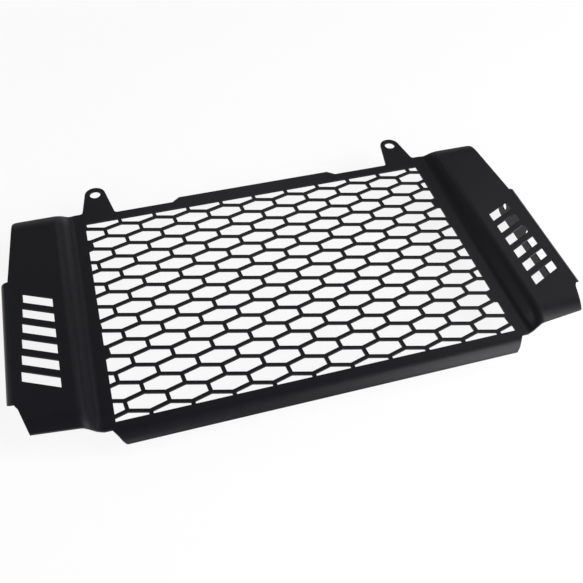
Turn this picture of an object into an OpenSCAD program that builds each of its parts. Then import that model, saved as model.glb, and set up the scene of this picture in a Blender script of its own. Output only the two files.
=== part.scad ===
/* [Sheet] */
// Thickness of the steel sheet with its coating
sheet_t = 1.5; // [1.2:0.1:2]
// Radius of the sheet's middle layer at the foot of each step up to a wing
step_foot_r = 7; // [5:0.5:8]
// Radius of the sheet's middle layer at the top of each step
step_top_r = 9; // [7:0.5:10]
// Slope of the step between the grille panel and a wing, degrees
step_angle = 50; // [40:1:60]

/* [Grille] */
// Width of the grille window
window_w = 278; // [260:1:290]
// Height of the grille window
window_h = 183; // [170:1:190]
// Distance between neighbouring cells in a row
cell_pitch = 27; // [24:0.5:30]
// Distance between neighbouring rows of cells
row_pitch = 11.43; // [10.5:0.01:13]
// Rise of the slanting bars over half a cell
cell_rise = 3.64; // [3:0.1:4.5]
// Width of the upright bars
post_w = 2.8; // [2:0.1:3.5]
// Width of the slanting bars
bar_w = 2.5; // [2:0.1:3.5]
// Lean of the whole cell pattern, degrees
cell_lean = 7.25; // [0:0.25:10]

/* [Panel edges] */
// Flat margin between the window and each side step
side_margin = 7.5; // [6:0.5:10]
// Height of the rim above the window beside the ears
rim_h = 8; // [6:0.5:10]
// Height of the raised middle of the rim above the window
rim_mid_h = 12.5; // [10:0.5:15]
// Half the width of the raised middle of the rim
rim_mid_half_w = 63; // [50:1:75]
// Height of the outer corners above the window
corner_h = 11.7; // [10:0.1:13]
// Flat margin below the window
bottom_margin = 5; // [4:0.5:8]
// Radius of the rolled lower edge
roll_r = 12.5; // [10:0.5:15]
// Sweep of the rolled lower edge, degrees
roll_angle = 50; // [30:1:60]

/* [Ears] */
// Distance between the two upper mounting holes
ear_hole_span = 255.6; // [240:0.2:258]
// Diameter of the upper mounting holes
ear_hole_d = 8.5; // [6:0.5:9]
// Height of the upper mounting holes above the window
ear_hole_h = 32.5; // [28:0.5:36]
// Radius of the rounded top of an ear
ear_r = 8.2; // [7.5:0.1:9]
// Half the width of an ear at its root
ear_root_half_w = 12.2; // [11:0.1:14]

/* [Wings] */
// Height of a wing in front of the grille panel
wing_rise = 8.5; // [7.5:0.5:12]
// Distance between the outer edges of the two wings at their widest
wing_span = 393; // [388:1:396]
// Radius of the gently rolled upper and lower edges of a wing
wing_roll_r = 30; // [20:1:40]
// Width of those rolled edges
wing_roll_w = 11; // [6:0.5:14]
// Number of vent slots in each wing
slot_count = 6; // [4:1:6]
// Distance between neighbouring vent slots
slot_pitch = 13.7; // [12:0.1:14]
// Height of a vent slot
slot_h = 8.2; // [6:0.1:9]
// Slope of the vent slots, degrees
slot_angle = 25; // [10:1:30]

/* [Side flanges] */
// Width over the outer faces of the two side flanges
overall_w = 405.5; // [403:0.5:408]
// Depth of the side flanges behind the middle of the panel sheet
flange_depth = 25; // [23:0.5:28]
// Inside radius of the bend between a wing and its flange
flange_bend_r = 4; // [3:0.5:5]
// Diameter of the mounting hole in a side flange
flange_hole_d = 6.6; // [5:0.2:8]

/* [Hidden] */

half_w = window_w / 2;
half_h = window_h / 2;
half_t = sheet_t / 2;
// Half the depth of the cutters that go through the sheet wherever it is
cut_depth = 40;
// How far one stretch of the sheet runs into the next, in the same plane
join = 1;
hole_facets = 64;

// Cell pattern: a staggered honeycomb, stretched sideways and leaning
lean_per_mm = tan(cell_lean);
grid_start = [-6.5, -1.1];
open_half_w = (cell_pitch - post_w) / 2;
bar_slope = cell_rise / (cell_pitch / 2);
apex_y = (row_pitch + cell_rise) / 2 - bar_w / 2 * sqrt(1 + bar_slope * bar_slope);
shoulder_y = apex_y - bar_slope * open_half_w;
cell_points = [
    [0, apex_y], [open_half_w, shoulder_y], [open_half_w, -shoulder_y],
    [0, -apex_y], [-open_half_w, -shoulder_y], [-open_half_w, shoulder_y]
];
row_reach = ceil(half_h / row_pitch) + 1;
column_reach = ceil(half_w / cell_pitch) + 2;
// Cells that the window cuts down to less than this stay closed
least_open_w = 2.8;
least_open_h = 2.5;

// Panel outline, measured from the middle of the window
rim_y = half_h + rim_h;
rim_mid_y = half_h + rim_mid_h;
rim_step_w = 6;
corner_y = half_h + corner_h;
step_x = half_w + side_margin;
roll_y = -(half_h + bottom_margin);

// Ears, measured from the middle of their own holes
ear_x = ear_hole_span / 2;
ear_y = half_h + ear_hole_h;
ear_root = [ear_root_half_w, corner_y - ear_y];
ear_side_angle = atan2(ear_root[1], ear_root[0]) + acos(ear_r / norm(ear_root));
ear_foot_r = 2.5;

// Rolled lower edge, with tapered ends that have rounded corners
roll_end_x = half_w + 2.8;
roll_taper = [roll_end_x - 5.2, roll_y - 7.7];
roll_reach_y = roll_y - roll_r;
roll_corner_w = 5;
roll_corner_drop = 1.4;

// Section of the side step, and the ends of its outline
step_slant_h = wing_rise - (step_foot_r + step_top_r) * (1 - cos(step_angle));
step_run = (step_foot_r + step_top_r) * sin(step_angle) + step_slant_h / tan(step_angle);
wing_x = step_x + step_run;
step_edge_w = 11.8;
wing_edge_x = step_x + step_edge_w;
step_foot_w = 3;
step_foot_h = 0.8;

// Wing outline and the band of it that is flat
wing_top_y = 99.2;
wing_low_y = -93.2;
wing_low_corner = [wing_span / 2 - 6.8, -90.6];
wing_notch = [wing_span / 2 - 1.1, -71.5];
wing_corner_r = 4;
wing_top_corner = [wing_span / 2 - 4.3 - wing_corner_r, wing_top_y - wing_corner_r];
flat_top_y = wing_top_y - wing_roll_w;
flat_low_y = wing_low_corner[1] + wing_roll_w;
roll_steps = 5;

// Side flange, its opening and its mounting hole, as Y and Z
flange_x = overall_w / 2 - half_t;
bend_r = flange_bend_r + half_t;
bend_centre = [flange_x - bend_r, wing_rise - bend_r];
flange_low_y = -68.7;
flange_top_y = 36.8;
flange_end_slope = 0.93;
opening_top_y = 5.9;
opening_z = [-17, -2];
opening_r = 4.5;
opening_to_end = 7;
flange_hole = [41, -14.6];
lobe_r = flange_depth + flange_hole[1];
lobe_to_top = [flange_top_y, bend_centre[1]] - flange_hole;
lobe_end_angle = atan2(lobe_to_top[1], lobe_to_top[0]) - acos(lobe_r / norm(lobe_to_top));

// Vent slots, in a column that leans outwards and keeps clear of the flange's bend
slot_first_y = 14.4;
slot_w = 19.7;
slot_to_bend = 9.6;
slot_outer_slant = 0.06;
slot_outer_x = bend_centre[0] - slot_to_bend;
slot_inner_x = slot_outer_x - slot_w;

// The guard stands on its side flanges, with the floor's origin under its middle
ear_top_y = ear_y + ear_r;
roll_low_y = roll_y - (roll_r + half_t) * sin(roll_angle);
middle_y = (ear_top_y + roll_low_y) / 2;

function leaned(p) = [p[0] - lean_per_mm * p[1], p[1]];
function across(points) = [for (k = [len(points) - 1:-1:0]) [-points[k][0], points[k][1]]];
function arc(centre, r, from, to, steps = 8) =
    [for (k = [0:steps])
        let (a = from + (to - from) * k / steps)
        centre + r * [cos(a), sin(a)]];

// Outline of a bent sheet, from the path that its middle layer follows
function unit(v) = v / norm(v);
function heading(path, k) =
    unit(unit(path[min(k + 1, len(path) - 1)] - path[min(k, len(path) - 2)])
        + unit(path[max(k, 1)] - path[max(k - 1, 0)]));
function miter(path, k) =
    let (along = heading(path, k), last = unit(path[max(k, 1)] - path[max(k - 1, 0)]))
    [-along[1], along[0]] / (along * last);
function face(path, distance) =
    [for (k = [0:len(path) - 1]) path[k] + distance * miter(path, k)];
function reversed(points) = [for (k = [len(points) - 1:-1:0]) points[k]];

module sheet_section(path)
    polygon(concat(face(path, half_t), reversed(face(path, -half_t))));

// Sections in X and Z are drawn out along Y, and sections in Y and Z along X
module along_y(from, to)
    translate([0, to, 0]) rotate([90, 0, 0]) linear_extrude(to - from) children();

module along_x(from, to)
    translate([from, 0, 0]) rotate([90, 0, 90]) linear_extrude(to - from) children();

module through() translate([0, 0, -cut_depth]) linear_extrude(2 * cut_depth) children();

module cell_openings()
    intersection() {
        square([window_w, window_h], center = true);
        union()
            for (row = [-row_reach:row_reach], column = [-column_reach:column_reach]) {
                y = grid_start[1] + row * row_pitch;
                x = grid_start[0] + (column + (row % 2 == 0 ? 0 : 0.5)) * cell_pitch;
                open_w = open_half_w + half_w - abs(leaned([x, y])[0]);
                open_h = apex_y + half_h - abs(y);
                if (open_w > least_open_w && open_h > least_open_h)
                    polygon([for (p = cell_points) leaned([x, y] + p)]);
            }
    }

// Concave foot where an ear's side runs out into an edge at the given level
function ear_foot(level) =
    let (half_w_here = (ear_r - level * sin(ear_side_angle)) / cos(ear_side_angle),
         reach = ear_foot_r * (1 - sin(ear_side_angle)) / cos(ear_side_angle))
    arc([half_w_here + reach, level + ear_foot_r], ear_foot_r, 180 + ear_side_angle, 270, 5);

function ear_outline() =
    concat(
        reversed(ear_foot(corner_y - ear_y)),
        arc([0, 0], ear_r, ear_side_angle, 180 - ear_side_angle, 16),
        across(reversed(ear_foot(rim_y - ear_y)))
    );

function panel_right() =
    concat(
        [[step_x, roll_y], [step_x, corner_y]],
        [for (p = ear_outline()) p + [ear_x, ear_y]],
        [[rim_mid_half_w + rim_step_w, rim_y], [rim_mid_half_w, rim_mid_y]]
    );

module panel()
    difference() {
        translate([0, 0, -half_t])
            linear_extrude(sheet_t)
                difference() {
                    polygon(concat(panel_right(), across(panel_right())));
                    cell_openings();
                }
        for (side = [-1, 1])
            translate([side * ear_x, ear_y, -cut_depth])
                cylinder(d = ear_hole_d, h = 2 * cut_depth, $fn = hole_facets);
    }

// The lower edge rolls back, away from the front
module rolled_edge() {
    right = [
        [roll_end_x, roll_y + join], [roll_end_x, roll_y], roll_taper,
        [roll_taper[0] - roll_corner_w / 3, roll_taper[1] - roll_corner_drop],
        [roll_taper[0] - roll_corner_w, roll_reach_y]
    ];
    intersection() {
        along_x(-roll_end_x, roll_end_x)
            sheet_section(concat(
                [[roll_y + join, 0]],
                arc([roll_y, -roll_r], roll_r, 90, 90 + roll_angle)
            ));
        through() polygon(concat(reversed(right), reversed(across(right))));
    }
}

module step_outline()
    polygon([
        [step_x - join, roll_y], [step_x, roll_y], [wing_edge_x, wing_low_y],
        [wing_edge_x, wing_top_y], [wing_edge_x - step_foot_w, wing_top_y + step_foot_h],
        [step_x + step_foot_w, corner_y - step_foot_h], [step_x, corner_y], [step_x - join, corner_y]
    ]);

module wing_outline()
    polygon(concat(
        [[wing_edge_x - join, wing_low_y], [wing_edge_x, wing_low_y], wing_low_corner, wing_notch],
        [[bend_centre[0], flange_low_y], [bend_centre[0], flange_top_y]],
        arc(wing_top_corner, wing_corner_r, 0, 90, 4),
        [[wing_edge_x - join, wing_top_y]]
    ));

module vent_slot(number) {
    slope = tan(slot_angle);
    y = slot_first_y - number * slot_pitch;
    outer_x = slot_outer_x + slot_outer_slant * (slot_first_y - y);
    middle_x = (slot_inner_x + slot_outer_x) / 2;
    inner = [slot_inner_x, y - slope * (middle_x - slot_inner_x)];
    outer = [outer_x, y + slope * (outer_x - middle_x)];
    up = [0, slot_h / 2];
    through() polygon([inner + up, inner - up, outer - up, outer + up]);
}

// The step and the wing are one sheet, whose section gets lower where the wing's ends roll back
side_path = concat(
    [[step_x - join, 0]],
    arc([step_x, step_foot_r], step_foot_r, -90, -90 + step_angle, 6),
    arc([wing_x, wing_rise - step_top_r], step_top_r, 90 + step_angle, 90, 7),
    [[bend_centre[0], wing_rise]]
);
side_low_y = roll_y - join;
side_top_y = corner_y + join;
side_levels = concat(
    [for (k = [roll_steps:-1:0]) flat_low_y + (side_low_y - flat_low_y) * k / roll_steps],
    [for (k = [0:roll_steps]) flat_top_y + (side_top_y - flat_top_y) * k / roll_steps]
);

function past_flat(y) = y > flat_top_y ? y - flat_top_y : min(y - flat_low_y, 0);
function roll_depth(y) = wing_roll_r - sqrt(wing_roll_r * wing_roll_r - past_flat(y) * past_flat(y));
function roll_slope(y) = past_flat(y) / (wing_roll_r - roll_depth(y));

// A point of the sheet's face: the lowered path at level y, moved out by half the sheet
function side_point(path, k, y, side) =
    let (out = side * half_t * miter(path, k),
         tilted = [out[0], roll_slope(y) * side_path[k][1] / wing_rise * out[1], out[1]])
    [path[k][0], y, path[k][1]] + tilted * norm(out) / norm(tilted);

function side_face(side) =
    [for (y = side_levels)
        let (low = 1 - roll_depth(y) / wing_rise, path = [for (p = side_path) [p[0], low * p[1]]])
        for (k = [0:len(path) - 1]) side_point(path, k, y, side)];

module side_sheet() {
    across_n = len(side_path);
    levels_n = len(side_levels);
    under = across_n * levels_n;
    last = under - across_n;
    polyhedron(
        concat(side_face(1), side_face(-1)),
        concat(
            [for (row = [0:levels_n - 2], k = [0:across_n - 2])
                let (a = row * across_n + k, b = a + across_n)
                each [[a, b, b + 1], [a, b + 1, a + 1],
                    [under + a, under + b + 1, under + b], [under + a, under + a + 1, under + b + 1]]],
            [for (k = [0:across_n - 2])
                each [[k, k + 1, under + k + 1, under + k],
                    [last + k + 1, last + k, under + last + k, under + last + k + 1]]],
            [for (row = [0:levels_n - 2])
                let (a = row * across_n, b = a + across_n, c = a + across_n - 1, d = c + across_n)
                each [[a, under + a, under + b, b], [d, under + d, under + c, c]]]
        )
    );
}

module step_and_wing()
    intersection() {
        side_sheet();
        through() {
            step_outline();
            wing_outline();
        }
    }

// A polygon whose corners are rounded, with its corners listed anticlockwise
function rounded(points, r) =
    [for (k = [0:len(points) - 1])
        let (p = points[k],
             back = unit(points[(k + len(points) - 1) % len(points)] - p),
             on = unit(points[(k + 1) % len(points)] - p),
             half = acos(back * on) / 2,
             centre = p + unit(back + on) * r / sin(half),
             start = p + back * r / tan(half) - centre,
             from = atan2(start[1], start[0]))
        each arc(centre, r, from, from + 180 - 2 * half, 5)];

// The flange's lower end slants up the sheet towards its free edge, and the opening follows it
function flange_end(z) = flange_low_y + flange_end_slope * (wing_rise + half_t - z);

// Plate of the side flange, with a rounded lobe round its mounting hole
module flange_plate()
    difference() {
        polygon(concat(
            [[flange_end(bend_centre[1]), bend_centre[1]], [flange_end(-flange_depth), -flange_depth]],
            arc(flange_hole, lobe_r, -90, lobe_end_angle, 12),
            [[flange_top_y, bend_centre[1]]]
        ));
        polygon(rounded([
            [opening_top_y, opening_z[1]],
            [flange_end(opening_z[1]) + opening_to_end, opening_z[1]],
            [flange_end(opening_z[0]) + opening_to_end, opening_z[0]],
            [opening_top_y, opening_z[0]]
        ], opening_r));
    }

module flange_bend() {
    top_z = wing_rise + sheet_t;
    difference() {
        along_y(flange_low_y, flange_top_y)
            sheet_section(concat(
                [[bend_centre[0] - join, wing_rise]],
                arc(bend_centre, bend_r, 90, 0),
                [[flange_x, bend_centre[1] - join]]
            ));
        along_x(bend_centre[0] - 2 * join, overall_w)
            polygon([
                [flange_end(top_z) - sheet_t, top_z], [flange_end(top_z) - sheet_t, 0],
                [flange_end(0), 0], [flange_end(top_z), top_z]
            ]);
    }
}

module side_flange() {
    flange_bend();
    difference() {
        along_x(flange_x - half_t, flange_x + half_t) flange_plate();
        translate([flange_x, flange_hole[0], flange_hole[1]])
            rotate([0, 90, 0]) cylinder(d = flange_hole_d, h = cut_depth, center = true, $fn = hole_facets);
    }
}

module side() {
    difference() {
        step_and_wing();
        for (number = [0:slot_count - 1]) vent_slot(number);
    }
    side_flange();
}

module guard()
    color("#222224")
        translate([0, -middle_y, flange_depth]) {
            panel();
            rolled_edge();
            side();
            mirror([1, 0, 0]) side();
        }

guard();
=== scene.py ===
# %% [markdown]
# # A black motorcycle radiator guard
#
# The real guard is one sheet of steel. A laser cuts its outline, its honeycomb grille and its
# vent slots, a press brake bends the sides and the lower edge, and an oven bakes a black powder
# coat onto it. The exact solid comes from the CAD model, so this lesson adds only what the solid
# lacks: soft edges, smooth bends, the coat itself, light, a floor and a camera.

import math

import bmesh
import bpy
from mathutils import Matrix, Vector


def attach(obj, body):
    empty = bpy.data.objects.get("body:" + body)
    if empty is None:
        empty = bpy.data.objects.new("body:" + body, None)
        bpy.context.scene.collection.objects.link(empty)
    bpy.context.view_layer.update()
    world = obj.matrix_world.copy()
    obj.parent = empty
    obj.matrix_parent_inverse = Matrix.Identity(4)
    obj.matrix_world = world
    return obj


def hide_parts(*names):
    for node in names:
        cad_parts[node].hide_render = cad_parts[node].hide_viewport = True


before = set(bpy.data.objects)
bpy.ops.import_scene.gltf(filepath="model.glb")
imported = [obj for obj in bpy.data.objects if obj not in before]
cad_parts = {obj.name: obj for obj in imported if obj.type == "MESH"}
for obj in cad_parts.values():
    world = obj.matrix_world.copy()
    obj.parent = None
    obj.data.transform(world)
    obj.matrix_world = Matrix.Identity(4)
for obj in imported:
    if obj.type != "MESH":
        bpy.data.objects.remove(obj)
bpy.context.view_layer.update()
MM = 0.001
guard_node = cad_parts["guard"]

# %% [markdown]
# ## A clean copy of the sheet
#
# The CAD node is a cloud of loose triangles: no two of them share a corner. Nothing can be
# smoothed or bevelled across an open seam, so the lesson works on a copy. Its doubled corners are
# merged first. A second merge takes out the few edges that are shorter than a third of a millimetre,
# because a bevel wider than an edge folds over at its ends. Then the triangles that lie in one plane
# are dissolved into large faces, which leaves only the edges that the real sheet has.

# %% Merge the copy's corners and dissolve its flat triangles
SAME_CORNER = 0.002 * MM
SHORTEST_EDGE = 0.3 * MM
FLAT_ANGLE = math.radians(0.5)

sheet = bmesh.new()
sheet.from_mesh(guard_node.data)
loose_corners = len(sheet.verts)
bmesh.ops.remove_doubles(sheet, verts=sheet.verts, dist=SAME_CORNER)
bmesh.ops.remove_doubles(sheet, verts=sheet.verts, dist=SHORTEST_EDGE)
bmesh.ops.dissolve_limit(
    sheet, angle_limit=FLAT_ANGLE, verts=sheet.verts, edges=sheet.edges, use_dissolve_boundaries=False
)
open_edges = [edge for edge in sheet.edges if not edge.is_manifold]
print("corners:", loose_corners, "->", len(sheet.verts), "open edges:", len(open_edges))

# %% [markdown]
# ## Edges softened by the coat
#
# Molten powder flows back a little from every laser-cut edge, so no edge of the guard is sharp. A
# bevel about as wide as the coat is thick gives each one a thin line of light. Its clamp is off,
# since one tight corner would otherwise narrow every bevel with its own. The bends are left out of
# it: their facets meet at a few degrees only, and smooth shading turns them into curves.

# %% Bevel the cut edges
EDGE_ROUND = 0.1 * MM
CUT_ANGLE = math.radians(38)
FOLDED_ANGLE = math.radians(150)

cut_edges = [edge for edge in sheet.edges if edge.is_manifold and edge.calc_face_angle(0) > CUT_ANGLE]
bmesh.ops.bevel(
    sheet,
    geom=cut_edges,
    offset=EDGE_ROUND,
    offset_type="OFFSET",
    affect="EDGES",
    segments=2,
    profile=0.5,
    clamp_overlap=False,
    material=-1,
)
folded_edges = [edge for edge in sheet.edges if edge.calc_face_angle(0) > FOLDED_ANGLE]
print("cut edges:", len(cut_edges), "faces:", len(sheet.faces), "folded edges:", len(folded_edges))

# %% [markdown]
# ## The piece that is shown
#
# Smooth shading rounds the bends, but it would also spoil the flat faces beside each bevel. A
# weighted normal lets the large faces win, so that they stay flat right up to their edges. The new
# piece stands for the CAD node from here on.

# %% Turn the copy into the piece that is shown
guard_mesh = bpy.data.meshes.new("radiator_guard")
sheet.to_mesh(guard_mesh)
sheet.free()
guard = bpy.data.objects.new("radiator_guard", guard_mesh)
bpy.context.scene.collection.objects.link(guard)
guard_mesh.shade_smooth()
weighted = guard.modifiers.new("Flat faces stay flat", "WEIGHTED_NORMAL")
weighted.keep_sharp = True
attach(guard, "root")
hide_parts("guard")
guard_mesh.calc_loop_triangles()
print("triangles shown:", len(guard_mesh.loop_triangles))


# %% [markdown]
# ## Colours and nodes
#
# A colour picked on a screen is sRGB, and a shader works on linear light, so one function turns
# the hex value into linear numbers. A second function adds any node with its settings and links,
# which keeps each material short enough to read in one look.

# %% Helpers for materials
def linear(hex_value):
    channels = [int(hex_value[i : i + 2], 16) / 255 for i in (1, 3, 5)]
    return [c / 12.92 if c <= 0.04045 else ((c + 0.055) / 1.055) ** 2.4 for c in channels] + [1.0]


def add_node(tree, kind, settings=None, **inputs):
    """A node of that kind. A setting is an attribute, and an input is a value or another's socket."""
    node = tree.nodes.new(kind)
    for name, value in (settings or {}).items():
        setattr(node, name, value)
    for name, value in inputs.items():
        socket = node.inputs[name.replace("_", " ")]
        if isinstance(value, bpy.types.NodeSocket):
            tree.links.new(value, socket)
        else:
            socket.default_value = value
    return node


print("mid grey in linear light:", [round(c, 3) for c in linear("#808080")])

# %% [markdown]
# ## Black powder coat
#
# The coat is a polyester powder, sprayed on dry and baked until it melts. It is satin rather than
# glossy, because the melt sets with a fine orange-peel grain. The grain of about a quarter of a
# millimetre is finer than a pixel here, so it is drawn somewhat coarser. It bends the light by bump
# alone. A second and much wider pattern changes the gloss by a few hundredths, as uneven powder does.

# %% Powder coat material
COAT_COLOUR = "#151519"
COAT_IOR = 1.3
GRAIN_WIDTH = 0.7 * MM
GRAIN_DEPTH = 0.02 * MM
GRAIN_STRENGTH = 0.35
PATCH_WIDTH = 30 * MM
SMOOTHEST = 0.32
ROUGHEST = 0.40

coat = bpy.data.materials.new("black satin polyester powder coat on steel")
coat.use_nodes = True
tree = coat.node_tree
shader = tree.nodes["Principled BSDF"]
place = add_node(tree, "ShaderNodeTexCoord").outputs["Object"]
grain = add_node(
    tree, "ShaderNodeTexNoise", Vector=place, Scale=1 / GRAIN_WIDTH, Detail=2.0, Roughness=0.55
)
patches = add_node(
    tree, "ShaderNodeTexNoise", Vector=place, Scale=1 / PATCH_WIDTH, Detail=3.0, Roughness=0.5
)
gloss = add_node(
    tree, "ShaderNodeMapRange", Value=patches.outputs["Fac"], To_Min=SMOOTHEST, To_Max=ROUGHEST
)
relief = add_node(
    tree, "ShaderNodeBump", Height=grain.outputs["Fac"], Strength=GRAIN_STRENGTH, Distance=GRAIN_DEPTH
)
shader.inputs["Base Color"].default_value = linear(COAT_COLOUR)
shader.inputs["Metallic"].default_value = 0.0
shader.inputs["IOR"].default_value = COAT_IOR
tree.links.new(gloss.outputs["Result"], shader.inputs["Roughness"])
tree.links.new(relief.outputs["Normal"], shader.inputs["Normal"])
guard_mesh.materials.clear()
guard_mesh.materials.append(coat)
print("material:", coat.name)


# %% [markdown]
# ## Floor and white background
#
# The guard lies on a plain white table that runs out of sight. A lit white floor would need so much
# light that the black coat turned grey. Light Path gives the way out: the camera, and what mirrors
# the background, see a floor that is mostly plain white of strength 1, while all other rays meet an
# ordinary matt floor. Near the guard a part of that matt floor stays in what the camera sees, and it
# keeps the soft shadow. Further out the white takes over, so that no horizon shows.

# %% Helper that tells the kinds of ray apart
def any_ray_of(node_tree, first_kind, *more_kinds):
    """1 for rays of any of these kinds, and 0 for all others."""
    rays = add_node(node_tree, "ShaderNodeLightPath")
    seen = rays.outputs[first_kind]
    for kind in more_kinds:
        larger = add_node(node_tree, "ShaderNodeMath", {"operation": "MAXIMUM"})
        node_tree.links.new(seen, larger.inputs[0])
        node_tree.links.new(rays.outputs[kind], larger.inputs[1])
        seen = larger.outputs[0]
    return seen


print("helper made:", any_ray_of.__name__)

# %% Floor
WHITE = [1.0, 1.0, 1.0, 1.0]
FLOOR_COLOUR = "#ececec"
FLOOR_SIZE = 6.0
FLOOR_GAP = 0.2 * MM
WHITE_SHARE = 0.87
SHADOW_REACH = 0.4
ALL_WHITE_FROM = 1.3

table = bmesh.new()
bmesh.ops.create_grid(table, x_segments=1, y_segments=1, size=FLOOR_SIZE / 2)
floor_mesh = bpy.data.meshes.new("table_top")
table.to_mesh(floor_mesh)
table.free()
floor = bpy.data.objects.new("table_top", floor_mesh)
floor.location.z = -FLOOR_GAP
bpy.context.scene.collection.objects.link(floor)

paper = bpy.data.materials.new("matt white table top")
paper.use_nodes = True
tree = paper.node_tree
matt = tree.nodes["Principled BSDF"]
matt.inputs["Base Color"].default_value = linear(FLOOR_COLOUR)
matt.inputs["Roughness"].default_value = 0.9
matt.inputs["Specular IOR Level"].default_value = 0.0
glow = add_node(tree, "ShaderNodeEmission", Color=WHITE, Strength=1.0)
spot = add_node(tree, "ShaderNodeTexCoord").outputs["Object"]
distance = add_node(tree, "ShaderNodeVectorMath", {"operation": "LENGTH"}, Vector=spot)
whiter = add_node(
    tree,
    "ShaderNodeMapRange",
    Value=distance.outputs["Value"],
    From_Min=SHADOW_REACH,
    From_Max=ALL_WHITE_FROM,
    To_Min=WHITE_SHARE,
    To_Max=1.0,
)
seen = any_ray_of(tree, "Is Camera Ray", "Is Glossy Ray", "Is Transmission Ray")
share = add_node(tree, "ShaderNodeMath", {"operation": "MULTIPLY"})
tree.links.new(seen, share.inputs[0])
tree.links.new(whiter.outputs["Result"], share.inputs[1])
blend = add_node(tree, "ShaderNodeMixShader", Fac=share.outputs[0])
tree.links.new(matt.outputs[0], blend.inputs[1])
tree.links.new(glow.outputs[0], blend.inputs[2])
tree.links.new(blend.outputs[0], tree.nodes["Material Output"].inputs["Surface"])
floor_mesh.materials.append(paper)
print("floor side in metres:", FLOOR_SIZE)

# %% [markdown]
# ## The studio round it
#
# A low white backdrop stands all round the table, and above it the studio is black. The flat faces
# of the guard mirror that black, while anything that leans towards the horizon picks up the
# backdrop. The height of a direction above the horizon is the Z of the world's own coordinates, so
# one Map Range turns it into the step from backdrop to black. The camera sees white everywhere, also
# through glass. Mirrored rays see it only as high as the backdrop stands, because a black coat that
# mirrors white from all sides turns grey.

# %% World
BACKDROP_LIGHT = 1.0
STUDIO_LIGHT = 0.0
BACKDROP_FOOT = 0.0
BACKDROP_TOP = math.sin(math.radians(7))

world = bpy.data.worlds.new("studio with a white backdrop")
world.use_nodes = True
bpy.context.scene.world = world
tree = world.node_tree
tree.nodes.clear()
direction = add_node(tree, "ShaderNodeTexCoord").outputs["Generated"]
height = add_node(tree, "ShaderNodeSeparateXYZ", Vector=direction).outputs["Z"]
level = add_node(
    tree,
    "ShaderNodeMapRange",
    {"interpolation_type": "SMOOTHSTEP"},
    Value=height,
    From_Min=BACKDROP_FOOT,
    From_Max=BACKDROP_TOP,
    To_Min=BACKDROP_LIGHT,
    To_Max=STUDIO_LIGHT,
)
studio = add_node(tree, "ShaderNodeBackground", Color=WHITE, Strength=level.outputs["Result"])
white = add_node(tree, "ShaderNodeBackground", Color=WHITE, Strength=BACKDROP_LIGHT)
seen = any_ray_of(tree, "Is Camera Ray", "Is Transmission Ray")
either = add_node(tree, "ShaderNodeMixShader", Fac=seen)
tree.links.new(studio.outputs[0], either.inputs[1])
tree.links.new(white.outputs[0], either.inputs[2])
add_node(tree, "ShaderNodeOutputWorld", Surface=either.outputs[0])
print("backdrop:", BACKDROP_LIGHT, "studio above it:", STUDIO_LIGHT)


# %% [markdown]
# ## Soft light
#
# Black satin shows its form almost only by what it mirrors, so each softbox is placed for one part
# of the guard. A tall one stands in front and to the right, and the rolled lower edge mirrors it as
# a sheen that grows towards the right, helped by one higher up and one further round. Weaker ones on
# the left show the bend there. Four dim ones stand behind the table, where the flat faces mirror
# them, and the lowest of them draws the light line along the wings' upper ends. Together the boxes
# light a matt surface about as brightly as it is coloured.

# %% Softboxes
def softbox(name, place, width, height, watts):
    lamp = bpy.data.lights.new(name, "AREA")
    lamp.shape = "RECTANGLE"
    lamp.size = width
    lamp.size_y = height
    lamp.energy = watts
    box = bpy.data.objects.new(name, lamp)
    turn = (-Vector(place)).to_track_quat("-Z", "Y").to_matrix().to_4x4()
    box.matrix_world = Matrix.Translation(place) @ turn
    bpy.context.scene.collection.objects.link(box)
    print(name, "at", place, "with", watts, "W")


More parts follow.
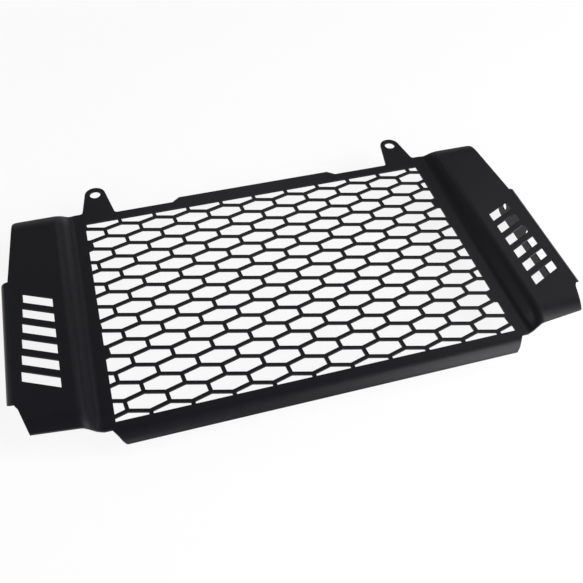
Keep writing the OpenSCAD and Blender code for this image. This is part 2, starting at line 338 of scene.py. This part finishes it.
softbox("front right softbox", (0.91, -1.06, 0.77), 0.6, 1.0, 15.7)
softbox("right softbox", (1.35, -0.48, 0.71), 0.6, 0.6, 17)
softbox("high right softbox", (0.81, -0.48, 1.29), 0.6, 0.6, 7.5)
softbox("front left softbox", (-0.64, -1.28, 0.72), 1.0, 0.8, 9)
softbox("left softbox", (-1.35, 0.32, 0.80), 0.9, 0.7, 4.5)
softbox("rear left softbox", (-0.72, 0.96, 1.04), 0.6, 0.6, 0.6)
softbox("rear softbox", (0.18, 1.14, 1.10), 0.6, 0.6, 0.9)
softbox("rear right softbox", (0.90, 0.72, 1.10), 0.6, 0.6, 1.2)
softbox("low rear softbox", (0.15, 1.47, 0.52), 1.4, 0.4, 1.4)

# %% [markdown]
# ## Camera
#
# The photograph looks down on the guard from the front and from the left. Its place, its turn and
# its focal length come from a fit to the grille, whose cells all have one size, so that they
# measure the perspective by themselves. The small shift and roll are what that fit leaves over.

# %% Camera
CAMERA_PLACE = Vector((-109.4, -361.7, 430.2)) * MM
CAMERA_AIM = Vector((-2.2, -29.3, 25.0)) * MM
CAMERA_ROLL = math.radians(2.2)
FOCAL_LENGTH = 45.5
FILM_WIDTH = 36.0
NEAREST_SEEN = 10 * MM
PHOTO_SIDE = 583
SHIFT_RIGHT = 0.8 / PHOTO_SIDE
SHIFT_DOWN = 0.4 / PHOTO_SIDE

lens = bpy.data.cameras.new("camera")
lens.lens = FOCAL_LENGTH
lens.sensor_width = FILM_WIDTH
lens.clip_start = NEAREST_SEEN
lens.shift_x = -SHIFT_RIGHT
lens.shift_y = SHIFT_DOWN
camera = bpy.data.objects.new("camera", lens)
turn = (CAMERA_AIM - CAMERA_PLACE).to_track_quat("-Z", "Y").to_matrix().to_4x4()
camera.matrix_world = Matrix.Translation(CAMERA_PLACE) @ turn @ Matrix.Rotation(CAMERA_ROLL, 4, "Z")
bpy.context.scene.collection.objects.link(camera)
bpy.context.scene.camera = camera
bpy.context.scene.view_settings.view_transform = "Standard"
print("camera distance in mm:", round((CAMERA_AIM - CAMERA_PLACE).length / MM))

# %% [markdown]
# ## The end of the lesson
#
# The scene is brought up to date once more, so that every object stands where it was put.

# %% The end of the lesson
bpy.context.view_layer.update()
